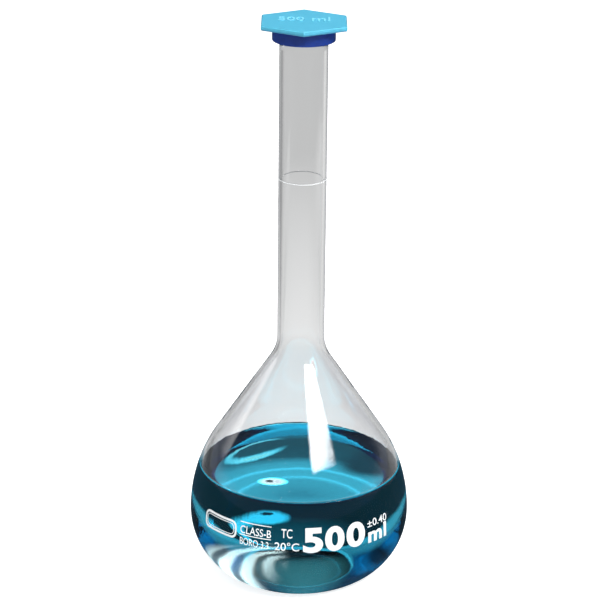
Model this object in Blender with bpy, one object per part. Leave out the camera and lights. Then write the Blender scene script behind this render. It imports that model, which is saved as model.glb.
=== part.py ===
"""Volumetric flask, 500 ml, with a snap cap and a blue solution in its bulb.

Metres, +Z up along the flask's axis. The origin is the middle of the base, on
the surface the flask stands on. The printed marks face -Y and read towards +X.
"""
import math

import bmesh
import bpy

# ---- glass ------------------------------------------------------------------
SIDES = 48                  # sides of every turned piece
EQUATOR_R = 0.0500          # widest outer radius of the bulb
EQUATOR_Z = 0.0289          # its height above the base
SHOULDER_R = 0.0666         # arc above the equator
LOWER_R = 0.0326            # arc below the equator
BASE_CORNER_R = 0.0030      # arc between the lower arc and the flat base
CONE_ANGLE = math.radians(33.7)   # straight cone under the neck, from the axis
THROAT_R = 0.0186           # hollow arc between the cone and the neck
NECK_R = 0.0106             # outer radius of the neck
WALL = 0.0015               # glass thickness
RIM_TOP = 0.2555            # height of the mouth
LIP_R = 0.0012              # rounded inner edge of the mouth
BEAD_R = 0.0020             # section radius of the rim bead
PUSH_UP_R = 0.0240          # the base is flat outside this radius
PUSH_UP_H = 0.0012          # and rises this much in the middle

# ---- solution and graduation --------------------------------------------------
LEVEL = 0.0503              # height of the liquid's surface
RING_Z = 0.1875             # height of the graduation line
RING_H = 0.0005             # its width along the neck
ENAMEL = 0.0003             # thickness of all fired enamel
GAP = 0.0003                # kept between pieces that touch

# ---- snap cap -------------------------------------------------------------------
HEX_R = 0.0214              # centre to corner of the six-sided top
PLATE_TOP = 0.2580          # flat top of the cap
PLATE_EDGE = 0.0005         # rounding of the plate's edges
LETTER_RELIEF = 0.0003      # raised lettering above the top
SKIRT_R = 0.01375           # outside of the round skirt
SKIRT_BORE_R = 0.01260      # inside of the skirt, round the rim bead
SKIRT_END = 0.2495          # lower edge of the skirt
SEAL_R = 0.0088             # outside of the inner seal ring, in the mouth
SEAL_BORE_R = 0.0074        # inside of the seal ring
SEAL_END = 0.2523           # lower edge of the seal ring

# ---- places that follow from the sizes above --------------------------------------
BORE_R = NECK_R - WALL
SHOULDER_CENTRE_R = EQUATOR_R - SHOULDER_R
LOWER_CENTRE_R = EQUATOR_R - LOWER_R
LOWER_ANGLE = math.asin((EQUATOR_Z - BASE_CORNER_R) / (LOWER_R - BASE_CORNER_R))
BASE_FLAT_R = LOWER_CENTRE_R + (LOWER_R - BASE_CORNER_R) * math.cos(LOWER_ANGLE)
CONE_LENGTH = (SHOULDER_CENTRE_R + SHOULDER_R * math.cos(CONE_ANGLE) - NECK_R
               - THROAT_R * (1 - math.cos(CONE_ANGLE))) / math.sin(CONE_ANGLE)
THROAT_Z = (EQUATOR_Z + (SHOULDER_R + THROAT_R) * math.sin(CONE_ANGLE)
            + CONE_LENGTH * math.cos(CONE_ANGLE))
PLATE_BOTTOM = RIM_TOP + GAP


def clear_scene():
    for old in list(bpy.data.objects):
        bpy.data.objects.remove(old, do_unlink=True)


def material(name, colour, roughness, transmission=0.0, ior=1.5):
    made = bpy.data.materials.new(name)
    made.use_nodes = True
    shader = made.node_tree.nodes["Principled BSDF"]
    shader.inputs["Base Color"].default_value = (*colour, 1.0)
    shader.inputs["Roughness"].default_value = roughness
    shader.inputs["Metallic"].default_value = 0.0
    shader.inputs["Transmission Weight"].default_value = transmission
    shader.inputs["IOR"].default_value = ior
    return made


def link(name, mesh, finish):
    piece = bpy.data.objects.new(name, mesh)
    mesh.materials.append(finish)
    bpy.context.collection.objects.link(piece)
    return piece


# ---- turned pieces ------------------------------------------------------------------

def arc(centre_r, centre_z, radius, start, end, steps):
    """Points (r, z) of an arc; its angles are radians from +r towards +z."""
    return [(centre_r + radius * math.cos(start + (end - start) * i / steps),
             centre_z + radius * math.sin(start + (end - start) * i / steps))
            for i in range(steps + 1)]


def bulb_below(inset, start_angle, steps):
    """The bulb's outline from an angle on the shoulder down to the base's middle.

    inset is how far the outline lies inside the outer surface of the glass.
    """
    points = arc(SHOULDER_CENTRE_R, EQUATOR_Z, SHOULDER_R - inset, start_angle, 0, steps)
    points += arc(LOWER_CENTRE_R, EQUATOR_Z, LOWER_R - inset, 0, -LOWER_ANGLE, 8)[1:]
    points += arc(BASE_FLAT_R, BASE_CORNER_R, BASE_CORNER_R - inset,
                  -LOWER_ANGLE, -math.pi / 2, 2)[1:]
    points += [(PUSH_UP_R, inset), (PUSH_UP_R * 0.4, inset + PUSH_UP_H * 0.84),
               (0.0, inset + PUSH_UP_H)]
    return points


def wall_outline(inset, top_z):
    """One surface of the glass, from top_z on the neck down to the base's middle."""
    throat = arc(NECK_R + THROAT_R, THROAT_Z, THROAT_R + inset,
                 math.pi, math.pi + CONE_ANGLE, 4)
    return [(NECK_R - inset, top_z)] + throat + bulb_below(inset, CONE_ANGLE, 7)


def turned(name, outline, finish, closed=False):
    """A piece turned about the flask's axis from an outline of (r, z) points."""
    mesh = bpy.data.meshes.new(name)
    edges = [(i, i + 1) for i in range(len(outline) - 1)]
    if closed:
        edges.append((len(outline) - 1, 0))
    mesh.from_pydata([(r, 0.0, z) for r, z in outline], edges, [])
    piece = link(name, mesh, finish)
    screw = piece.modifiers.new("turn", "SCREW")
    screw.axis = "Z"
    screw.steps = screw.render_steps = SIDES
    screw.use_merge_vertices = True
    screw.merge_threshold = 0.00002
    screw.use_smooth_shade = True
    return piece


def flask_body(finish):
    """One blown piece: its bore runs up, over the rim bead and down the outside."""
    bore = wall_outline(WALL, RIM_TOP - LIP_R)[::-1]
    lip = arc(BORE_R + LIP_R, RIM_TOP - LIP_R, LIP_R, math.pi, math.pi / 2, 3)[1:]
    bead_z = RIM_TOP - BEAD_R
    bead_foot = math.acos((NECK_R - BORE_R - LIP_R) / BEAD_R)
    bead = arc(BORE_R + LIP_R, bead_z, BEAD_R, math.pi / 2, -bead_foot, 8)[1:]
    outside = wall_outline(0.0, bead_z - BEAD_R)[1:]
    return turned("flask_body", bore + lip + bead + outside, finish)


def solution(finish):
    inset = WALL + GAP
    edge = math.asin((LEVEL - EQUATOR_Z) / (SHOULDER_R - inset))
    outline = [(0.0, LEVEL)] + bulb_below(inset, edge, 4)
    return turned("solution", outline, finish)


def graduation_ring(finish):
    inner, outer = NECK_R + GAP, NECK_R + GAP + ENAMEL
    low, high = RING_Z - RING_H / 2, RING_Z + RING_H / 2
    outline = [(outer, high), (outer, low), (inner, low), (inner, high)]
    return turned("graduation_ring", outline, finish, closed=True)


# ---- snap cap ----------------------------------------------------------------------

def text_mesh(name, words, depth, weight):
    """Lettering in the XY plane, as one mesh with its back at z = 0.

    weight widens the strokes on both sides, as a share of the letter size.
    """
    curve = bpy.data.curves.new(name, "FONT")
    curve.body = words
    curve.extrude = depth / 2
    curve.offset = weight
    curve.resolution_u = 2
    letters = bpy.data.objects.new(name, curve)
    bpy.context.collection.objects.link(letters)
    graph = bpy.context.evaluated_depsgraph_get()
    mesh = bpy.data.meshes.new_from_object(letters.evaluated_get(graph))
    bpy.data.objects.remove(letters, do_unlink=True)
    work = bmesh.new()
    work.from_mesh(mesh)
    bmesh.ops.remove_doubles(work, verts=work.verts, dist=0.000001)
    bmesh.ops.translate(work, verts=work.verts, vec=(0, 0, depth / 2))
    work.to_mesh(mesh)
    work.free()
    return mesh


def fit_to_box(mesh, left, low, width, height):
    """Scales and moves a flat mesh so that it fills a box in the XY plane."""
    xs = [v.co.x for v in mesh.vertices]
    ys = [v.co.y for v in mesh.vertices]
    for v in mesh.vertices:
        v.co.x = left + (v.co.x - min(xs)) / (max(xs) - min(xs)) * width
        v.co.y = low + (v.co.y - min(ys)) / (max(ys) - min(ys)) * height


def unite(piece, other):
    """Joins another object to a piece with an exact Boolean, and hides the other."""
    union = piece.modifiers.new("with_" + other.name, "BOOLEAN")
    union.operation = "UNION"
    union.solver = "EXACT"
    union.object = other
    other.hide_render = True
    other.hide_viewport = False
    other.display_type = "WIRE"


def snap_cap(finish):
    """One moulding: six-sided plate, skirt round the rim, seal ring in the mouth."""
    mesh = bpy.data.meshes.new("snap_cap")
    work = bmesh.new()
    bmesh.ops.create_circle(work, cap_ends=True, segments=6, radius=HEX_R)
    bmesh.ops.translate(work, verts=work.verts, vec=(0, 0, PLATE_BOTTOM))
    up = bmesh.ops.extrude_face_region(work, geom=work.faces[:])
    top = [v for v in up["geom"] if isinstance(v, bmesh.types.BMVert)]
    bmesh.ops.translate(work, verts=top, vec=(0, 0, PLATE_TOP - PLATE_BOTTOM))
    bmesh.ops.recalc_face_normals(work, faces=work.faces)
    bmesh.ops.bevel(work, geom=work.edges[:], offset=PLATE_EDGE, segments=2,
                    affect="EDGES", profile=0.5)
    work.to_mesh(mesh)
    work.free()
    cap = link("snap_cap", mesh, finish)
    skirt = turned("cap_skirt_form",
                   [(SKIRT_R, PLATE_BOTTOM + PLATE_EDGE), (SKIRT_R, SKIRT_END),
                    (SKIRT_BORE_R, SKIRT_END), (SKIRT_BORE_R, PLATE_BOTTOM + PLATE_EDGE)],
                   finish, closed=True)
    seal = turned("cap_seal_form",
                  [(SEAL_R, PLATE_BOTTOM + PLATE_EDGE), (SEAL_R, SEAL_END),
                   (SEAL_BORE_R, SEAL_END), (SEAL_BORE_R, PLATE_BOTTOM + PLATE_EDGE)],
                  finish, closed=True)
    unite(cap, skirt)
    unite(cap, seal)
    sink = 0.0002
    for name, words, left, width in (("cap_number_form", "500", -0.0112, 0.0112),
                                     ("cap_unit_form", "ml", 0.0034, 0.0078)):
        raised = text_mesh(name, words, LETTER_RELIEF + sink, 0.0)
        fit_to_box(raised, left, -0.0008, width, 0.0064)
        letters = link(name, raised, finish)
        letters.location.z = PLATE_TOP - sink
        unite(cap, letters)
    return cap


# ---- printed enamel marks -------------------------------------------------------------

def bulb_radius(z):
    """Outer radius of the bulb at a height on its two big arcs."""
    if z >= EQUATOR_Z:
        return SHOULDER_CENTRE_R + math.sqrt(SHOULDER_R ** 2 - (z - EQUATOR_Z) ** 2)
    return LOWER_CENTRE_R + math.sqrt(LOWER_R ** 2 - (z - EQUATOR_Z) ** 2)


def wrap(mesh):
    """Wraps a flat mark round the bulb.

    x is the length round the equator from the front, y the height above the
    base and z the distance outwards from the back of the enamel.
    """
    for v in mesh.vertices:
        round_angle = v.co.x / EQUATOR_R
        height = v.co.y
        radius = bulb_radius(height) + GAP + v.co.z
        v.co = (radius * math.sin(round_angle), -radius * math.cos(round_angle), height)


def printed_character(name, character, left, low, width, height, finish):
    mesh = text_mesh(name, character, ENAMEL, 0.035)
    fit_to_box(mesh, left, low, width, height)
    wrap(mesh)
    return link(name, mesh, finish)


def printed_loop(name, outer, inner, finish):
    """A closed band of enamel between two outlines with as many points each."""
    work = bmesh.new()
    rings = []
    for outline, depth in ((outer, 0.0), (outer, ENAMEL), (inner, ENAMEL), (inner, 0.0)):
        rings.append([work.verts.new((x, y, depth)) for x, y in outline])
    count = len(outer)
    for a, b in zip(rings, rings[1:] + rings[:1]):
        for i in range(count):
            j = (i + 1) % count
            work.faces.new((a[i], a[j], b[j], b[i]))
    bmesh.ops.recalc_face_normals(work, faces=work.faces)
    mesh = bpy.data.meshes.new(name)
    work.to_mesh(mesh)
    work.free()
    wrap(mesh)
    return link(name, mesh, finish)


def rounded_outline(left, low, width, height, radius, side_steps):
    """A rectangle with round corners, with extra points along its long sides."""
    points = []
    corners = ((left + width - radius, low + radius, -90),
               (left + width - radius, low + height - radius, 0),
               (left + radius, low + height - radius, 90),
               (left + radius, low + radius, 180))
    for number, (cx, cy, start) in enumerate(corners):
        points += arc(cx, cy, radius, math.radians(start), math.radians(start + 90), 3)
        if number in (1, 3):
            step = (width - 2 * radius) / side_steps * (-1 if number == 1 else 1)
            x, y = points[-1]
            points += [(x + step * i, y) for i in range(1, side_steps)]
    return points


def printed_bar(name, left, low, width, height, finish):
    """A straight rule of enamel, cut across so that it follows the bulb."""
    steps = 5
    mesh = bpy.data.meshes.new(name)
    work = bmesh.new()
    bmesh.ops.create_cube(work, size=1.0)
    bmesh.ops.scale(work, verts=work.verts, vec=(width, height, ENAMEL))
    bmesh.ops.translate(work, verts=work.verts,
                        vec=(left + width / 2, low + height / 2, ENAMEL / 2))
    for i in range(1, steps):
        cut = (left + width * i / steps, 0, 0)
        bmesh.ops.bisect_plane(work, geom=work.verts[:] + work.edges[:] + work.faces[:],
                               plane_co=cut, plane_no=(1, 0, 0))
    work.to_mesh(mesh)
    work.free()
    wrap(mesh)
    return link(name, mesh, finish)


def printed_marks(finish):
    """Capacity, unit, write-on patch and the two rules of the class marking."""
    digit_low, digit_height = 0.0294, 0.0117
    printed_character("digit_5", "5", 0.0020, digit_low, 0.0090, digit_height, finish)
    printed_character("digit_0_first", "0", 0.0119, digit_low, 0.0092, digit_height, finish)
    printed_character("digit_0_second", "0", 0.0221, digit_low, 0.0097, digit_height, finish)
    printed_character("unit_m", "m", 0.0336, 0.0293, 0.0086, 0.0052, finish)
    printed_character("unit_l", "l", 0.0435, 0.0293, 0.0018, 0.0071, finish)

    left, low, width, height, line = -0.0500, 0.0318, 0.0205, 0.0084, 0.0008
    outer = rounded_outline(left, low, width, height, 0.0022, 8)
    inner = rounded_outline(left + line, low + line, width - 2 * line,
                            height - 2 * line, 0.0022 - line, 8)
    printed_loop("patch_frame", outer, inner, finish)

    printed_bar("rule_upper", -0.0277, 0.0406, 0.0153, 0.0004, finish)
    printed_bar("rule_lower", -0.0277, 0.0347, 0.0153, 0.0004, finish)


clear_scene()
glass = material("borosilicate_glass", (0.93, 0.96, 0.96), 0.02, 1.0, 1.47)
liquid = material("blue_solution", (0.03, 0.42, 0.60), 0.02, 1.0, 1.33)
enamel = material("white_enamel", (0.92, 0.94, 0.95), 0.45)
polyethylene = material("blue_polyethylene", (0.10, 0.50, 0.86), 0.38)

flask_body(glass)
solution(liquid)
graduation_ring(enamel)
snap_cap(polyethylene)
printed_marks(enamel)
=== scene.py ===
import math

import bpy
from mathutils import Matrix, Vector


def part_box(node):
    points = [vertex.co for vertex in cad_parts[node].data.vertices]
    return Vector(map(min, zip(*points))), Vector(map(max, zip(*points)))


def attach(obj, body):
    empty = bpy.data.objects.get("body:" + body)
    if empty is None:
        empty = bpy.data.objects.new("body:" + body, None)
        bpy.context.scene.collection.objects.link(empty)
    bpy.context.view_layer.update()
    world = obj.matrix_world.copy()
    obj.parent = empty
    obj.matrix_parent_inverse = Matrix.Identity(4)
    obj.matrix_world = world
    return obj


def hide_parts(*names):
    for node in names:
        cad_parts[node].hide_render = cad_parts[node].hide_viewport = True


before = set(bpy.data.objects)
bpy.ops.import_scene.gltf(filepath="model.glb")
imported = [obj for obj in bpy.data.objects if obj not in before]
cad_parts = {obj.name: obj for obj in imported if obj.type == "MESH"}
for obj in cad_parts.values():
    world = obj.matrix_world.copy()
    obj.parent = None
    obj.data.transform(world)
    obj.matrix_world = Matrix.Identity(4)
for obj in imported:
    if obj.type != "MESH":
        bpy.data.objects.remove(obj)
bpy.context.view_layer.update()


# ---------------------------------------------------------------- flask body
# One piece of borosilicate glass: a tube whose lower end is blown into a
# flat-bottomed bulb, and whose mouth is turned over into a rim bead. The wall
# is about 1.5 mm all over, and the middle of the base is pushed up a little.

glass_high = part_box("flask_body")[1]
bulb_r = glass_high.x                    # equator of the bulb, outside
rim_z = glass_high.z                     # top of the mouth
equator_z = 0.578 * bulb_r
shoulder_r = 1.332 * bulb_r              # arc above the equator
lower_r = 0.652 * bulb_r                 # arc below it
base_corner_r = 0.060 * bulb_r
cone_angle = math.radians(33.7)          # straight stretch under the neck
throat_r = 0.372 * bulb_r                # hollow arc from the cone to the neck
neck_r = 0.212 * bulb_r
wall = 0.030 * bulb_r
push_up_r = 0.48 * bulb_r
push_up_h = 0.024 * bulb_r
lip_r = 0.024 * bulb_r
bead_r = 0.040 * bulb_r
turn_steps = 192
weld = 0.000001                          # points closer than this become one

shoulder_c = bulb_r - shoulder_r         # arc centres, as distances from the axis
lower_c = bulb_r - lower_r
lower_angle = math.asin((equator_z - base_corner_r) / (lower_r - base_corner_r))
base_flat_r = lower_c + (lower_r - base_corner_r) * math.cos(lower_angle)
cone_length = (shoulder_c + shoulder_r * math.cos(cone_angle) - neck_r
               - throat_r * (1 - math.cos(cone_angle))) / math.sin(cone_angle)
throat_z = (equator_z + (shoulder_r + throat_r) * math.sin(cone_angle)
            + cone_length * math.cos(cone_angle))


def arc(centre_r, centre_z, radius, start, end, steps):
    """Points (r, z) on an arc; angles in radians from the outward direction upwards."""
    turn = (end - start) / steps
    return [(centre_r + radius * math.cos(start + turn * i),
             centre_z + radius * math.sin(start + turn * i)) for i in range(steps + 1)]


def straight(start, end, steps):
    """Points after start on a straight line to end."""
    return [(start[0] + (end[0] - start[0]) * i / steps,
             start[1] + (end[1] - start[1]) * i / steps) for i in range(1, steps + 1)]


def bulb_outline(inset, start_angle):
    """The bulb from an angle on its shoulder down to the middle of the base."""
    points = arc(shoulder_c, equator_z, shoulder_r - inset, start_angle, 0, 28)
    points += arc(lower_c, equator_z, lower_r - inset, 0, -lower_angle, 36)[1:]
    points += arc(base_flat_r, base_corner_r, base_corner_r - inset,
                  -lower_angle, -math.pi / 2, 6)[1:]
    points += straight(points[-1], (push_up_r, inset), 3)
    rise = [(push_up_r * (1 - i / 12), inset + push_up_h * math.sin(math.pi / 2 * i / 12) ** 2)
            for i in range(1, 12)]
    return points + rise + [(0.0, inset + push_up_h)]


def wall_outline(inset, top_z):
    """One surface of the glass from the neck's top down to the middle of the base."""
    throat = arc(neck_r + throat_r, throat_z, throat_r + inset,
                 math.pi, math.pi + cone_angle, 12)
    neck = [(neck_r - inset, top_z)]
    neck += straight(neck[0], throat[0], 24)
    bulb = bulb_outline(inset, cone_angle)
    return neck + throat[1:] + straight(throat[-1], bulb[0], 10) + bulb[1:]


def deselect_all():
    bpy.ops.object.select_all(action="DESELECT")


def draw_and_spin(name, outline, steps, closed=False):
    """Draws an outline from one point by extruding it, and spins it round the axis."""
    deselect_all()
    r, z = outline[0]
    bpy.ops.mesh.primitive_plane_add(size=0.001, location=(0, 0, 0))
    piece = bpy.context.object
    piece.name = piece.data.name = name
    bpy.ops.object.mode_set(mode="EDIT")
    bpy.ops.mesh.merge(type="CENTER")
    bpy.ops.transform.translate(value=(r, 0, z))
    for (r0, z0), (r1, z1) in zip(outline, outline[1:] + outline[:1] * closed):
        bpy.ops.mesh.extrude_region_move(
            TRANSFORM_OT_translate={"value": (r1 - r0, 0, z1 - z0)})
    bpy.ops.mesh.select_all(action="SELECT")
    bpy.ops.mesh.remove_doubles(threshold=weld)
    bpy.ops.mesh.spin(steps=steps, angle=2 * math.pi, center=(0, 0, 0), axis=(0, 0, 1))
    bpy.ops.mesh.select_all(action="SELECT")
    bpy.ops.mesh.remove_doubles(threshold=2 * weld)
    bpy.ops.mesh.normals_make_consistent(inside=False)
    bpy.ops.object.mode_set(mode="OBJECT")
    bpy.ops.object.shade_smooth()
    return piece


def new_material(name):
    """A node material, with the tree and the shader that it starts with."""
    made = bpy.data.materials.new(name)
    made.use_nodes = True
    return made, made.node_tree, made.node_tree.nodes["Principled BSDF"]


def add_node(tree, kind, inputs=(), **settings):
    node = tree.nodes.new(kind)
    for key, value in settings.items():
        setattr(node, key, value)
    for key, value in dict(inputs).items():
        node.inputs[key].default_value = value
    return node


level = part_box("solution")[1].z

lip = arc(neck_r - wall + lip_r, rim_z - lip_r, lip_r, math.pi, math.pi / 2, 8)[1:]
bead_z = rim_z - bead_r
bead_foot = math.acos((wall - lip_r) / bead_r)
bead = arc(neck_r - wall + lip_r, bead_z, bead_r, math.pi / 2, -bead_foot, 20)[1:]
glass_outline = (wall_outline(wall, rim_z - lip_r)[::-1] + lip + bead
                 + wall_outline(0.0, bead_z - bead_r)[1:])
flask = draw_and_spin("flask_glass", glass_outline, turn_steps)


def glass_group():
    """Faint unevenness of blown glass: slow waves, and draw lines along the neck."""
    group = bpy.data.node_groups.new("blown_glass_waves", "ShaderNodeTree")
    face = group.interface
    face.new_socket("Strength", in_out="INPUT", socket_type="NodeSocketFloat")
    face.new_socket("Normal", in_out="OUTPUT", socket_type="NodeSocketVector")
    start = group.nodes.new("NodeGroupInput")
    end = group.nodes.new("NodeGroupOutput")
    place = group.nodes.new("ShaderNodeTexCoord")
    stretch = add_node(group, "ShaderNodeMapping", {"Scale": (1.0, 1.0, 0.12)})
    waves = add_node(group, "ShaderNodeTexNoise", {"Scale": 60.0, "Detail": 2.0})
    lines = add_node(group, "ShaderNodeTexNoise", {"Scale": 420.0, "Detail": 1.0})
    both = add_node(group, "ShaderNodeMath", {1: 0.12}, operation="MULTIPLY_ADD")
    bump = add_node(group, "ShaderNodeBump", {"Distance": 0.0006})
    group.links.new(place.outputs["Object"], stretch.inputs["Vector"])
    group.links.new(place.outputs["Object"], waves.inputs["Vector"])
    group.links.new(stretch.outputs["Vector"], lines.inputs["Vector"])
    group.links.new(lines.outputs["Fac"], both.inputs[0])
    group.links.new(waves.outputs["Fac"], both.inputs[2])
    group.links.new(both.outputs[0], bump.inputs["Height"])
    group.links.new(start.outputs["Strength"], bump.inputs["Strength"])
    group.links.new(bump.outputs["Normal"], end.inputs["Normal"])
    return group


blown_glass_waves = glass_group()
waviness = 0.15


def clear_material(name, ior):
    made, tree, shader = new_material(name)
    shader.inputs["Base Color"].default_value = (0.993, 0.996, 0.996, 1.0)
    shader.inputs["Roughness"].default_value = 0.0
    shader.inputs["IOR"].default_value = ior
    shader.inputs["Transmission Weight"].default_value = 1.0
    waves = add_node(tree, "ShaderNodeGroup", node_tree=blown_glass_waves)
    waves.inputs["Strength"].default_value = waviness
    tree.links.new(waves.outputs["Normal"], shader.inputs["Normal"])
    return made


glass_ior = 1.50
water_ior = 1.333
flask.data.materials.append(clear_material("borosilicate_glass", glass_ior))
flask.data.materials.append(clear_material("glass_wetted", glass_ior / water_ior))

# the wetted faces: the bore's wall up to the liquid's edge, and its floor
meniscus_h = 0.0012
corner_top = 0.1 * equator_z
floor_top = 0.3 * equator_z
for face in flask.data.polygons:
    height = face.center.z
    outward = Vector((face.center.x, face.center.y, 0.0)).dot(face.normal)
    on_wall = outward < 0 and corner_top < height < level + meniscus_h
    on_floor = face.normal.z > 0.5 and height < floor_top
    if on_wall or on_floor:
        face.material_index = 1

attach(flask, "flask")
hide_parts("flask_body")


# ------------------------------------------------------------------ solution
# A clear blue aqueous solution that fills half of the bulb. It wets the glass,
# so its still surface turns up by about a millimetre where it meets the wall.

wet_gap = 0.00003
wet_inset = wall + wet_gap
edge_angle = math.asin((level + meniscus_h - equator_z) / (shoulder_r - wet_inset))
wetted = bulb_outline(wet_inset, edge_angle)
edge_r = wetted[0][0]
capillary = 0.0016                       # the rise at the wall fades over this width


def surface_point(part):
    """A point on the liquid's surface, at a part of the way from the axis to the wall."""
    return edge_r * part, level + meniscus_h * math.exp((part - 1) * edge_r / capillary)


surface_steps, bend_start = 24, 0.8      # the last fifth, which bends, has finer steps
surface = [surface_point(bend_start * i / surface_steps) for i in range(surface_steps)]
surface += [surface_point(bend_start + (1 - bend_start) * i / surface_steps)
            for i in range(surface_steps)]
liquid = draw_and_spin("solution_liquid", surface + wetted, turn_steps)


def liquid_material(name, ior):
    made, tree, shader = new_material(name)
    shader.inputs["Base Color"].default_value = (1.0, 1.0, 1.0, 1.0)
    shader.inputs["Roughness"].default_value = 0.0
    shader.inputs["IOR"].default_value = ior
    shader.inputs["Transmission Weight"].default_value = 1.0
    dye = add_node(tree, "ShaderNodeVolumeAbsorption",
                   {"Color": (0.10, 0.77, 0.87, 1.0), "Density": 50.0})
    tree.links.new(dye.outputs["Volume"], tree.nodes["Material Output"].inputs["Volume"])
    return made


liquid.data.materials.append(liquid_material("blue_solution_surface", water_ior))
liquid.data.materials.append(liquid_material("blue_solution_at_glass", 1.0))
below_level = 0.0002                     # faces no lower than this belong to the surface
for face in liquid.data.polygons:
    on_top = face.normal.z > 0.3 and face.center.z > level - below_level
    if not on_top:
        face.material_index = 1

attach(liquid, "flask")
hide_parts("solution")


# ------------------------------------------------------------ enamel markings
# Line, numbers and letters are screen-printed white enamel, fired into the
# glass. They stand a few hundredths of a millimetre proud of the surface.

enamel_t = 0.00006
enamel_lift = 0.00002                    # keeps its under side clear of the glass
strip_w = 0.001                          # a flat print is cut this fine to follow the bulb

ring_low, ring_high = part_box("graduation_ring")
ring_z = (ring_low.z + ring_high.z) / 2
ring_h = 0.3 * (ring_high.z - ring_low.z)    # half the width of the line
ring_in = neck_r + enamel_lift
ring_out = ring_in + enamel_t
ring = draw_and_spin("graduation_line", [(ring_out, ring_z + ring_h), (ring_out, ring_z - ring_h),
                                         (ring_in, ring_z - ring_h), (ring_in, ring_z + ring_h)],
                     turn_steps, closed=True)
bpy.ops.object.shade_flat()


def enamel_material():
    made, tree, shader = new_material("white_enamel")
    place = add_node(tree, "ShaderNodeTexCoord")
    grain = add_node(tree, "ShaderNodeTexNoise", {"Scale": 2600.0, "Detail": 3.0})
    tone = add_node(tree, "ShaderNodeMix", data_type="RGBA")
    tone.inputs[6].default_value = (0.80, 0.86, 0.88, 1.0)
    tone.inputs[7].default_value = (0.97, 0.98, 0.98, 1.0)
    bump = add_node(tree, "ShaderNodeBump", {"Strength": 0.3, "Distance": 0.00002})
    tree.links.new(place.outputs["Object"], grain.inputs["Vector"])
    tree.links.new(grain.outputs["Fac"], tone.inputs[0])
    tree.links.new(tone.outputs[2], shader.inputs["Base Color"])
    tree.links.new(grain.outputs["Fac"], bump.inputs["Height"])
    tree.links.new(bump.outputs["Normal"], shader.inputs["Normal"])
    shader.inputs["Roughness"].default_value = 0.45
    return made


white_enamel = enamel_material()
ring.data.materials.append(white_enamel)
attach(ring, "flask")
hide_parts("graduation_ring")


def bulb_surface_r(height):
    """Outer radius of the glass at a height on the bulb's two big arcs."""
    if height >= equator_z:
        return shoulder_c + math.sqrt(shoulder_r ** 2 - (height - equator_z) ** 2)
    return lower_c + math.sqrt(lower_r ** 2 - (height - equator_z) ** 2)


def finish_print(piece):
    """Cuts a flat print into narrow strips, wraps it round the bulb and fires it on.

    x is the length round the equator from the front, y the height above the base.
    """
    deselect_all()
    piece.select_set(True)
    bpy.context.view_layer.objects.active = piece
    xs = [v.co.x for v in piece.data.vertices]
    ys = [v.co.y for v in piece.data.vertices]
    bpy.ops.object.mode_set(mode="EDIT")
    for low, high, normal in ((min(xs), max(xs), (1, 0, 0)), (min(ys), max(ys), (0, 1, 0))):
        strips = int((high - low) / strip_w) + 1
        for i in range(1, strips):
            place = low + (high - low) * i / strips
            bpy.ops.mesh.select_all(action="SELECT")
            bpy.ops.mesh.bisect(plane_co=[place * n for n in normal], plane_no=normal)
    bpy.ops.mesh.select_all(action="SELECT")
    bpy.ops.mesh.remove_doubles(threshold=2 * weld)
    bpy.ops.mesh.normals_make_consistent(inside=False)
    bpy.ops.object.mode_set(mode="OBJECT")
    for v in piece.data.vertices:
        turn = v.co.x / bulb_r
        radius = bulb_surface_r(v.co.y) + enamel_lift + v.co.z
        v.co = (radius * math.sin(turn), -radius * math.cos(turn), v.co.y)
    piece.data.update()
    piece.data.materials.clear()
    piece.data.materials.append(white_enamel)
    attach(piece, "flask")
    return piece


def text_block(name, words, low, size, weight=0.0, curve_steps=6):
    """Upright words as a solid, squeezed into a box given by its low corner and its size."""
    deselect_all()
    bpy.ops.object.text_add()
    text = bpy.context.object
    text.name = text.data.name = name
    text.data.body = words
    text.data.offset = weight
    text.data.extrude = 0.5
    text.data.resolution_u = curve_steps
    bpy.ops.object.convert(target="MESH")
    piece = bpy.context.object
    for axis in range(3):
        places = [v.co[axis] for v in piece.data.vertices]
        start, extent = min(places), max(places) - min(places)
        for v in piece.data.vertices:
            v.co[axis] = low[axis] + (v.co[axis] - start) / extent * size[axis]
    return piece


def print_text(name, words, left, low, width, height, weight):
    return finish_print(text_block(name, words, (left, low, 0.0), (width, height, enamel_t),
                                   weight))


digit_low, digit_h = 0.0294, 0.0117
unit_low = 0.0293
marks_left = -0.0275                     # where the class and glass marks start
digit_weight, unit_weight, mark_weight = 0.04, 0.03, 0.005     # how bold the strokes are
five = print_text("print_5", "5", 0.0020, digit_low, 0.0090, digit_h, digit_weight)
nought_1 = print_text("print_0_first", "0", 0.0119, digit_low, 0.0092, digit_h, digit_weight)
nought_2 = print_text("print_0_second", "0", 0.0221, digit_low, 0.0097, digit_h, digit_weight)
letter_m = print_text("print_m", "m", 0.0336, unit_low, 0.0086, 0.0052, unit_weight)
letter_l = print_text("print_l", "l", 0.0435, unit_low, 0.0018, 0.0071, unit_weight)
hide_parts("digit_5")
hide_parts("digit_0_first")
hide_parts("digit_0_second")
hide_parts("unit_m")
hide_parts("unit_l")
print_text("print_tolerance", "±0.40", 0.0334, 0.0368, 0.0125, 0.0034, mark_weight)
print_text("print_contain", "TC", -0.0078, 0.0363, 0.0050, 0.0042, mark_weight)
print_text("print_degrees", "20°C", -0.0107, 0.0303, 0.0110, 0.0040, mark_weight)
print_text("print_class", "CLASS-B", marks_left, 0.0356, 0.0151, 0.0036, mark_weight)
print_text("print_glass", "BORO 3.3", marks_left, 0.0302, 0.0140, 0.0034, 0.0)


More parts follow.
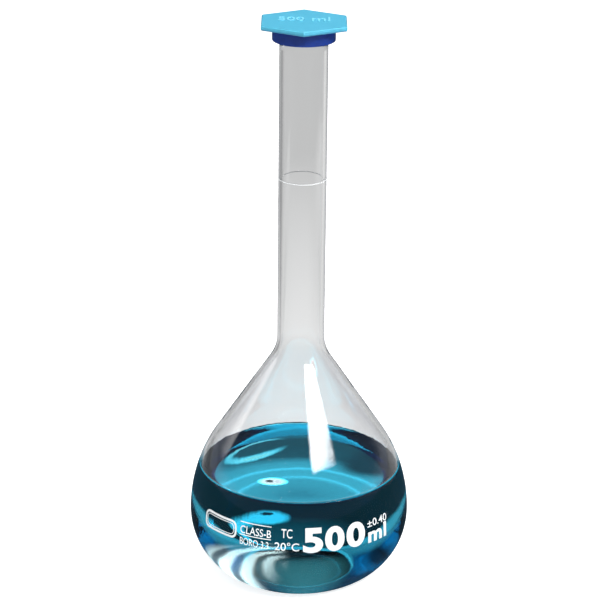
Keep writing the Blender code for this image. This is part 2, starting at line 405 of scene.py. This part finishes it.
def print_band(name, outer, inner):
    """A band of enamel between two flat outlines with as many points each."""
    deselect_all()
    bpy.ops.mesh.primitive_plane_add(size=0.001)
    piece = bpy.context.object
    piece.name = piece.data.name = name
    count = len(outer)
    points = [(x, y, 0.0) for x, y in outer + inner]
    faces = [(i, (i + 1) % count, count + (i + 1) % count, count + i) for i in range(count)]
    flat = bpy.data.meshes.new(name)
    flat.from_pydata(points, [], faces)
    piece.data = flat
    bpy.ops.object.mode_set(mode="EDIT")
    bpy.ops.mesh.select_all(action="SELECT")
    bpy.ops.mesh.extrude_region_move(TRANSFORM_OT_translate={"value": (0, 0, enamel_t)})
    bpy.ops.object.mode_set(mode="OBJECT")
    return finish_print(piece)


def rounded_rectangle(left, low, width, height, radius):
    points = []
    for cx, cy, start in ((left + width - radius, low + radius, -90),
                          (left + width - radius, low + height - radius, 0),
                          (left + radius, low + height - radius, 90),
                          (left + radius, low + radius, 180)):
        points += arc(cx, cy, radius, math.radians(start), math.radians(start + 90), 8)
    return points


patch_left, patch_low, patch_w, patch_h = -0.0500, 0.0318, 0.0205, 0.0084


def patch_band(name, inset, line, corner):
    """One line of the patch's double outline, set in from its outer edge."""
    outlines = []
    for step in (0.0, line):
        edge = inset + step
        outlines.append(rounded_rectangle(patch_left + edge, patch_low + edge,
                                          patch_w - 2 * edge, patch_h - 2 * edge,
                                          corner - step))
    return print_band(name, *outlines)


patch = patch_band("print_patch", 0.0, 0.0010, 0.0030)
patch_band("print_patch_inner", 0.0015, 0.0003, 0.0020)
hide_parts("patch_frame")


def print_rule(name, left, low, width, height):
    deselect_all()
    bpy.ops.mesh.primitive_cube_add(size=1.0)
    piece = bpy.context.object
    piece.name = piece.data.name = name
    for v in piece.data.vertices:
        v.co = (left + width * (v.co.x + 0.5), low + height * (v.co.y + 0.5),
                enamel_t * (v.co.z + 0.5))
    return finish_print(piece)


rule_left, rule_w, rule_h = -0.0277, 0.0153, 0.0004
upper_rule = print_rule("print_rule_upper", rule_left, 0.0406, rule_w, rule_h)
lower_rule = print_rule("print_rule_lower", rule_left, 0.0347, rule_w, rule_h)
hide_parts("rule_upper")
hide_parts("rule_lower")


# ------------------------------------------------------------------ snap cap
# Injection-moulded polyethylene in one piece: a six-sided plate that gives
# grip, a round skirt that goes over the rim, and a seal ring in the mouth.

cap_low, cap_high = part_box("snap_cap")
relief = 0.0003
plate_top = cap_high.z - relief
plate_bottom = rim_z + relief
hex_r = cap_high.y
skirt_r = 0.01375
skirt_bore_r = 0.01260
seal_r, seal_bore_r, seal_end = 0.0088, 0.0074, 0.2523
plate_edge = 0.0006                      # rounding of the plate
skirt_edge = 0.0004                      # rounding of the skirt's outer lower edge
bore_edge = 0.0003                       # lead-in at the skirt's bore
root_depth = 0.0005                      # how far the rings run up into the plate

deselect_all()
bpy.ops.mesh.primitive_cylinder_add(vertices=6, radius=hex_r, depth=plate_top - plate_bottom,
                                    location=(0, 0, (plate_top + plate_bottom) / 2))
cap = bpy.context.object
cap.name = cap.data.name = "hex_snap_cap"
bpy.ops.object.transform_apply(location=True, rotation=True, scale=True)
bpy.ops.object.mode_set(mode="EDIT")
bpy.ops.mesh.select_all(action="SELECT")
bpy.ops.mesh.bevel(offset=plate_edge, offset_type="OFFSET", segments=4, profile=0.5,
                   affect="EDGES")
bpy.ops.object.mode_set(mode="OBJECT")


def unite(piece, other):
    """Fuses another solid into a piece and removes it."""
    deselect_all()
    piece.select_set(True)
    bpy.context.view_layer.objects.active = piece
    join = piece.modifiers.new("join", "BOOLEAN")
    join.operation = "UNION"
    join.solver = "EXACT"
    join.object = other
    bpy.ops.object.modifier_apply(modifier=join.name)
    bpy.data.objects.remove(other, do_unlink=True)


root_z = plate_bottom + root_depth
skirt_outline = [(skirt_r, root_z)]
skirt_outline += straight(skirt_outline[0], (skirt_r, cap_low.z + skirt_edge), 4)
skirt_outline += arc(skirt_r - skirt_edge, cap_low.z + skirt_edge, skirt_edge,
                     0, -math.pi / 2, 5)[1:]
skirt_outline += [(skirt_bore_r + bore_edge, cap_low.z), (skirt_bore_r, cap_low.z + bore_edge),
                  (skirt_bore_r, root_z)]
skirt = draw_and_spin("cap_skirt", skirt_outline, 128, closed=True)
unite(cap, skirt)
seal_taper = (0.0004, 0.0006)            # bevel at the tip, across and along
seal = draw_and_spin("cap_seal", [(seal_r, root_z), (seal_r, seal_end + seal_taper[1]),
                                  (seal_r - seal_taper[0], seal_end), (seal_bore_r, seal_end),
                                  (seal_bore_r, root_z)], 96, closed=True)
unite(cap, seal)


def raised_letters(name, words, left, low, width, height):
    """Letters that stand on the plate, with their feet sunk into it."""
    sink = 0.0002
    piece = text_block(name, words, (left, low, plate_top - sink),
                       (width, height, relief + sink), curve_steps=5)
    bpy.ops.object.mode_set(mode="EDIT")
    bpy.ops.mesh.select_all(action="SELECT")
    bpy.ops.mesh.remove_doubles(threshold=weld)
    bpy.ops.mesh.normals_make_consistent(inside=False)
    bpy.ops.object.mode_set(mode="OBJECT")
    return piece


letter_low, letter_h = -0.0008, 0.0064
unite(cap, raised_letters("cap_number", "500", -0.0112, letter_low, 0.0112, letter_h))
unite(cap, raised_letters("cap_unit", "ml", 0.0034, letter_low, 0.0078, letter_h))
deselect_all()
cap.select_set(True)
bpy.context.view_layer.objects.active = cap
bpy.ops.object.shade_smooth_by_angle(angle=math.radians(35))
weighted = cap.modifiers.new("even_faces", "WEIGHTED_NORMAL")
weighted.keep_sharp = True
bpy.ops.object.modifier_apply(modifier=weighted.name)


def polyethylene_material():
    """Blue plastic. Painted shade makes the skirt under the plate deep navy, and a painted
    lighter tone, standing in for the light on their tops, makes the raised letters paler.
    """
    made, tree, shader = new_material("blue_polyethylene")
    place = add_node(tree, "ShaderNodeTexCoord")
    axes = add_node(tree, "ShaderNodeSeparateXYZ")
    grain = add_node(tree, "ShaderNodeTexNoise", {"Scale": 900.0, "Detail": 3.0})
    clouds = add_node(tree, "ShaderNodeTexNoise", {"Scale": 120.0, "Detail": 2.0})
    # mask of the painted shade: the skirt below the plate takes the deep navy, the plate keeps
    # its blue
    above = add_node(tree, "ShaderNodeMapRange", {"From Min": plate_bottom - 0.0012,
                                                  "From Max": plate_bottom + 0.0012})
    # mask of the painted lighter tone on the raised letters, which stands in for light falling on
    # them
    proud = add_node(tree, "ShaderNodeMapRange", {"From Min": plate_top + 0.00002,
                                                  "From Max": plate_top + 0.0001})
    tone = add_node(tree, "ShaderNodeMix", data_type="RGBA")
    tone.inputs[6].default_value = (0.065, 0.395, 0.56, 1.0)
    tone.inputs[7].default_value = (0.085, 0.44, 0.615, 1.0)
    # painted shade under the plate: the skirt gets this deep navy in place of the plastic's own
    # blue
    body = add_node(tree, "ShaderNodeMix", data_type="RGBA")
    body.inputs[6].default_value = (0.005, 0.036, 0.26, 1.0)
    # painted highlight: a paler blue on the raised letters, where light falls on their tops
    painted_letter_light = add_node(tree, "ShaderNodeMix", data_type="RGBA")
    painted_letter_light.inputs[7].default_value = (0.22, 0.68, 0.85, 1.0)
    bump = add_node(tree, "ShaderNodeBump", {"Strength": 0.25, "Distance": 0.00006})
    tree.links.new(place.outputs["Object"], grain.inputs["Vector"])
    tree.links.new(place.outputs["Object"], clouds.inputs["Vector"])
    tree.links.new(place.outputs["Object"], axes.inputs[0])
    tree.links.new(axes.outputs["Z"], above.inputs["Value"])
    tree.links.new(axes.outputs["Z"], proud.inputs["Value"])
    tree.links.new(clouds.outputs["Fac"], tone.inputs[0])
    tree.links.new(above.outputs["Result"], body.inputs[0])
    tree.links.new(tone.outputs[2], body.inputs[7])
    tree.links.new(proud.outputs["Result"], painted_letter_light.inputs[0])
    tree.links.new(body.outputs[2], painted_letter_light.inputs[6])
    tree.links.new(painted_letter_light.outputs[2], shader.inputs["Base Color"])
    tree.links.new(grain.outputs["Fac"], bump.inputs["Height"])
    tree.links.new(bump.outputs["Normal"], shader.inputs["Normal"])
    shader.inputs["Roughness"].default_value = 0.42
    return made


cap.data.materials.clear()
cap.data.materials.append(polyethylene_material())
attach(cap, "cap")
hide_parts("snap_cap")


# --------------------------------------------------------------------- studio
# A white table in a dim room, with a strong softbox at the front right and weaker
# ones high in front, overhead and at the left. Only what the glass shows of the
# table is painted: the rings, streaks and shade that the flask throws on it.

table_size = 30.0
table_drop = 0.0002                      # keeps the table clear of the base
deselect_all()
bpy.ops.mesh.primitive_plane_add(size=table_size, location=(0, 0, -table_drop))
table = bpy.context.object
table.name = table.data.name = "white_table"


def soft_spot(tree, place, x, y, wide, deep, edge=0.5, turn=0.0):
    """A mask on the table: 1 inside an ellipse, falling softly to 0 at its edge."""
    local = add_node(tree, "ShaderNodeMapping",
                     {"Location": (x, y, 0), "Rotation": (0, 0, math.radians(turn)),
                      "Scale": (wide, deep, 1)}, vector_type="TEXTURE")
    away = add_node(tree, "ShaderNodeVectorMath", operation="LENGTH")
    mask = add_node(tree, "ShaderNodeMapRange", {"From Min": 1.0 - edge, "From Max": 1.0,
                                                 "To Min": 1.0, "To Max": 0.0},
                    interpolation_type="SMOOTHSTEP")
    tree.links.new(place, local.inputs["Vector"])
    tree.links.new(local.outputs["Vector"], away.inputs[0])
    tree.links.new(away.outputs["Value"], mask.inputs["Value"])
    return mask.outputs["Result"]


def painted(tree, under, mask, brightness):
    """Puts an even brightness over what is under a mask."""
    cover = add_node(tree, "ShaderNodeMix", {3: brightness}, data_type="FLOAT")
    tree.links.new(mask, cover.inputs[0])
    tree.links.new(under, cover.inputs[2])
    return cover.outputs[0]


def tinted(tree, under, mask, colour):
    """Puts a colour over a colour, or over the colour of a socket, under a mask."""
    cover = add_node(tree, "ShaderNodeMix", {7: colour + (1.0,)}, data_type="RGBA")
    tree.links.new(mask, cover.inputs[0])
    if isinstance(under, tuple):
        cover.inputs[6].default_value = under + (1.0,)
    else:
        tree.links.new(under, cover.inputs[6])
    return cover.outputs[2]


def product(tree, first, second):
    node = add_node(tree, "ShaderNodeMath", operation="MULTIPLY")
    for socket, value in zip(node.inputs, (first, second)):
        if isinstance(value, float):
            socket.default_value = value
        else:
            tree.links.new(value, socket)
    return node.outputs[0]


def table_through_glass(tree, place):
    """The colour of the table as the glass shows it by refraction."""
    away = add_node(tree, "ShaderNodeVectorMath", operation="LENGTH")
    tree.links.new(place, away.inputs[0])

    # rings of light and shade round the foot, from the middle out to 10 cm
    rings = add_node(tree, "ShaderNodeValToRGB")
    stops = ((0.0, 1.10), (0.20, 1.05), (0.29, 1.15), (0.32, 2.0), (0.335, 1.25), (0.39, 1.20),
             (0.415, 2.0), (0.43, 1.15), (0.475, 1.0), (0.53, 0.24), (0.63, 0.18),
             (0.68, 0.05), (0.80, 0.05), (0.87, 0.95), (1.0, 1.0))
    top = 2.5
    for _ in stops[2:]:
        rings.color_ramp.elements.new(0.5)
    for element, (position, value) in zip(rings.color_ramp.elements, stops):
        element.position = position
        element.color = (value / top, value / top, value / top, 1.0)
    tree.links.new(product(tree, away.outputs["Value"], 10.0), rings.inputs["Fac"])
    light = product(tree, rings.outputs["Color"], top)

    # far away the table gets darker
    far = add_node(tree, "ShaderNodeMapRange", {"From Min": 0.20, "From Max": 0.66,
                                                "To Min": 0.90, "To Max": 0.56})
    tree.links.new(away.outputs["Value"], far.inputs["Value"])
    light = product(tree, light, far.outputs["Result"])

    # areas and strips far behind at both sides, which shade the neck: each is given
    # by its middle, its half width and half depth, and its brightness
    for x, y, wide, deep, brightness in ((-0.62, 0.20, 0.55, 0.90, 0.35),
                                         (0.62, 0.20, 0.55, 0.90, 0.80),
                                         (0.170, 0.50, 0.140, 0.30, 0.70),
                                         (-0.085, 0.50, 0.030, 0.28, 0.66)):
        light = painted(tree, light, soft_spot(tree, place, x, y, wide, deep), brightness)

    # blue shade beside the flask, which darkens the ends of the liquid's surface
    hue = (1.0, 1.0, 1.0)
    for side in (-1, 1):
        beside = soft_spot(tree, place, 0.14 * side, 0.14, 0.06, 0.06)
        light = painted(tree, light, beside, 0.22)
        hue = tinted(tree, hue, beside, (0.25, 0.75, 1.0))

    # a dark spot behind at the right, a bright pool in front, and behind at the left
    # a streak, a glint with a darker heart, and another that shows white
    streak = soft_spot(tree, place, -0.0190, 0.0510, 0.0180, 0.0022, 0.8, 34)
    glint = soft_spot(tree, place, -0.0125, 0.0265, 0.0080, 0.0045)
    for mask, brightness in ((soft_spot(tree, place, 0.034, 0.046, 0.020, 0.016), 0.12),
                             (soft_spot(tree, place, 0.0, -0.085, 0.055, 0.05), 1.7),
                             (streak, 4.5),
                             (soft_spot(tree, place, -0.0038, 0.0674, 0.0032, 0.0040), 2.0),
                             (soft_spot(tree, place, -0.0040, 0.0692, 0.0009, 0.0010), 0.1),
                             (glint, 20.0),
                             (soft_spot(tree, place, -0.0142, 0.0270, 0.0022, 0.0018), 2.0)):
        light = painted(tree, light, mask, brightness)
    hue = tinted(tree, hue, streak, (1.0, 0.44, 0.36))
    hue = tinted(tree, hue, glint, (1.0, 0.13, 0.10))
    through = add_node(tree, "ShaderNodeVectorMath", operation="SCALE")
    tree.links.new(hue, through.inputs[0])
    tree.links.new(light, through.inputs["Scale"])
    return through.outputs["Vector"]


def table_mirrored(tree, place):
    """The colour of the table as the glass mirrors it.

    It is dark, but for the blue light that comes out of the bulb in front, and for
    rippled white light at the left.
    """
    mirrored = tinted(tree, (0.03, 0.06, 0.09),
                      soft_spot(tree, place, 0.006, -0.064, 0.050, 0.036, 0.8), (0.5, 3.0, 3.6))
    aside = add_node(tree, "ShaderNodeMapping", {"Location": (0.0, -0.072, 0.0)},
                     vector_type="TEXTURE")
    ripples = add_node(tree, "ShaderNodeTexWave", {"Scale": 17.0, "Distortion": 2.2,
                                                   "Detail": 2.0, "Detail Scale": 1.2},
                       wave_type="RINGS", rings_direction="Z")
    crests = add_node(tree, "ShaderNodeMapRange", {"From Min": 0.0, "From Max": 0.9,
                                                   "To Min": 0.12, "To Max": 1.0},
                      interpolation_type="SMOOTHSTEP")
    tree.links.new(place, aside.inputs["Vector"])
    tree.links.new(aside.outputs["Vector"], ripples.inputs["Vector"])
    tree.links.new(ripples.outputs["Fac"], crests.inputs["Value"])
    arcs = product(tree, soft_spot(tree, place, -0.046, -0.070, 0.040, 0.076, 0.7),
                   crests.outputs["Result"])
    return tinted(tree, mirrored, arcs, (13.0, 18.0, 18.5))


def table_material():
    """Plain white for the camera and the room, and the painted light for the glass."""
    made, tree, shader = new_material("table_white")
    shader.inputs["Base Color"].default_value = (0.82, 0.82, 0.82, 1.0)
    shader.inputs["Roughness"].default_value = 0.9
    shader.inputs["Specular IOR Level"].default_value = 0.1
    place = add_node(tree, "ShaderNodeTexCoord").outputs["Object"]
    path = add_node(tree, "ShaderNodeLightPath")
    either = add_node(tree, "ShaderNodeMix", data_type="RGBA")
    sharp = add_node(tree, "ShaderNodeMath", operation="MAXIMUM")
    pool = add_node(tree, "ShaderNodeEmission")
    lift = add_node(tree, "ShaderNodeEmission")
    plain = add_node(tree, "ShaderNodeAddShader")
    seen = add_node(tree, "ShaderNodeMixShader")
    tree.links.new(path.outputs["Is Transmission Ray"], either.inputs[0])
    tree.links.new(table_mirrored(tree, place), either.inputs[6])
    tree.links.new(table_through_glass(tree, place), either.inputs[7])
    tree.links.new(either.outputs[2], pool.inputs["Color"])
    tree.links.new(path.outputs["Is Glossy Ray"], sharp.inputs[0])
    tree.links.new(path.outputs["Is Transmission Ray"], sharp.inputs[1])
    tree.links.new(product(tree, path.outputs["Is Camera Ray"], 0.8), lift.inputs["Strength"])
    tree.links.new(shader.outputs[0], plain.inputs[0])
    tree.links.new(lift.outputs[0], plain.inputs[1])
    tree.links.new(sharp.outputs[0], seen.inputs[0])
    tree.links.new(plain.outputs[0], seen.inputs[1])
    tree.links.new(pool.outputs[0], seen.inputs[2])
    tree.links.new(seen.outputs[0], tree.nodes["Material Output"].inputs["Surface"])
    return made


table.data.materials.append(table_material())


def studio_world():
    """White behind the camera's own rays, and a dim bluish room for what glass sees.

    Seen through the glass, the room is light near the horizon, where the table ends.
    """
    world = bpy.data.worlds.new("studio")
    world.use_nodes = True
    tree = world.node_tree
    path = add_node(tree, "ShaderNodeLightPath")
    direction = add_node(tree, "ShaderNodeTexCoord")
    axes = add_node(tree, "ShaderNodeSeparateXYZ")
    height = add_node(tree, "ShaderNodeMapRange", {"From Min": 0.08, "From Max": 0.22})
    sharp = add_node(tree, "ShaderNodeMath", operation="MAXIMUM")
    tree.links.new(direction.outputs["Generated"], axes.inputs[0])
    tree.links.new(axes.outputs["Z"], height.inputs["Value"])
    tree.links.new(path.outputs["Is Glossy Ray"], sharp.inputs[0])
    tree.links.new(path.outputs["Is Transmission Ray"], sharp.inputs[1])

    dim_room = (0.12, 0.18, 0.32)
    behind = tinted(tree, (0.58, 0.59, 0.61), height.outputs["Result"], (0.06, 0.09, 0.14))
    seen = add_node(tree, "ShaderNodeMix", {6: dim_room + (1.0,)}, data_type="RGBA")
    tree.links.new(path.outputs["Is Transmission Ray"], seen.inputs[0])
    tree.links.new(behind, seen.inputs[7])
    light = add_node(tree, "ShaderNodeMix", {6: (0.40, 0.40, 0.40, 1.0)}, data_type="RGBA")
    tree.links.new(sharp.outputs[0], light.inputs[0])
    tree.links.new(seen.outputs[2], light.inputs[7])
    colour = tinted(tree, light.outputs[2], path.outputs["Is Camera Ray"], (1.0, 1.0, 1.0))
    tree.links.new(colour, tree.nodes["Background"].inputs["Color"])
    return world


bpy.context.scene.world = studio_world()

middle = Vector((0, 0, 0.1303))          # what the softboxes and the camera face


def softbox(name, azimuth, elevation, distance, width, height, radiance):
    """A cloth panel that glows most in its middle, placed by direction and distance."""
    a, e = math.radians(azimuth), math.radians(elevation)
    out = Vector((math.sin(a) * math.cos(e), -math.cos(a) * math.cos(e), math.sin(e)))
    deselect_all()
    bpy.ops.mesh.primitive_plane_add(size=2.0)
    panel = bpy.context.object
    panel.name = panel.data.name = name
    made, tree, shader = new_material(name + "_cloth")
    tree.nodes.remove(shader)
    place = add_node(tree, "ShaderNodeTexCoord").outputs["Object"]
    axes = add_node(tree, "ShaderNodeSeparateXYZ")
    tree.links.new(place, axes.inputs[0])
    glow = add_node(tree, "ShaderNodeEmission")
    strength = radiance
    for axis, even in (("X", 0.65), ("Y", 0.35)):
        size = add_node(tree, "ShaderNodeMath", operation="ABSOLUTE")
        fade = add_node(tree, "ShaderNodeMapRange", {"From Min": even, "From Max": 1.0,
                                                     "To Min": 1.0, "To Max": 0.0},
                        interpolation_type="SMOOTHSTEP")
        tree.links.new(axes.outputs[axis], size.inputs[0])
        tree.links.new(size.outputs[0], fade.inputs["Value"])
        strength = product(tree, strength, fade.outputs["Result"])
    tree.links.new(strength, glow.inputs["Strength"])
    clear = add_node(tree, "ShaderNodeBsdfTransparent")
    both = add_node(tree, "ShaderNodeAddShader")
    tree.links.new(glow.outputs[0], both.inputs[0])
    tree.links.new(clear.outputs[0], both.inputs[1])
    tree.links.new(both.outputs[0], tree.nodes["Material Output"].inputs["Surface"])
    panel.data.materials.append(made)
    panel.location = middle + out * distance
    panel.rotation_euler = out.to_track_quat("-Z", "Y").to_euler()
    panel.scale = (width / 2, height / 2, 1)
    panel.visible_camera = False


softbox("softbox_front_right", 37, 42, 1.2, 0.74, 0.40, 20.0)
softbox("softbox_front_high", 0, 56, 1.3, 1.6, 0.5, 2.6)
softbox("softbox_top", 0, 88, 1.6, 1.8, 1.8, 2.2)
softbox("softbox_left", -118, 24, 1.2, 0.5, 0.9, 2.0)

camera_data = bpy.data.cameras.new("camera")
camera_data.sensor_width = 36.0
camera_data.lens = 138.0
camera = bpy.data.objects.new("camera", camera_data)
reach = 1.029                            # from the camera to the middle of the flask
pitch = math.radians(20.44)
roll = math.radians(0.61)
sideways = -0.0005
camera.location = (sideways, -reach * math.cos(pitch), middle.z + reach * math.sin(pitch))
aim = Vector((sideways, 0, middle.z)) - camera.location
look = aim.to_track_quat("-Z", "Y").to_matrix().to_4x4()
camera.rotation_euler = (look @ Matrix.Rotation(roll, 4, "Z")).to_euler()
bpy.context.scene.collection.objects.link(camera)
bpy.context.scene.camera = camera

scene = bpy.context.scene
scene.view_settings.view_transform = "Standard"
scene.cycles.max_bounces = 24
scene.cycles.transmission_bounces = 24
scene.cycles.glossy_bounces = 12
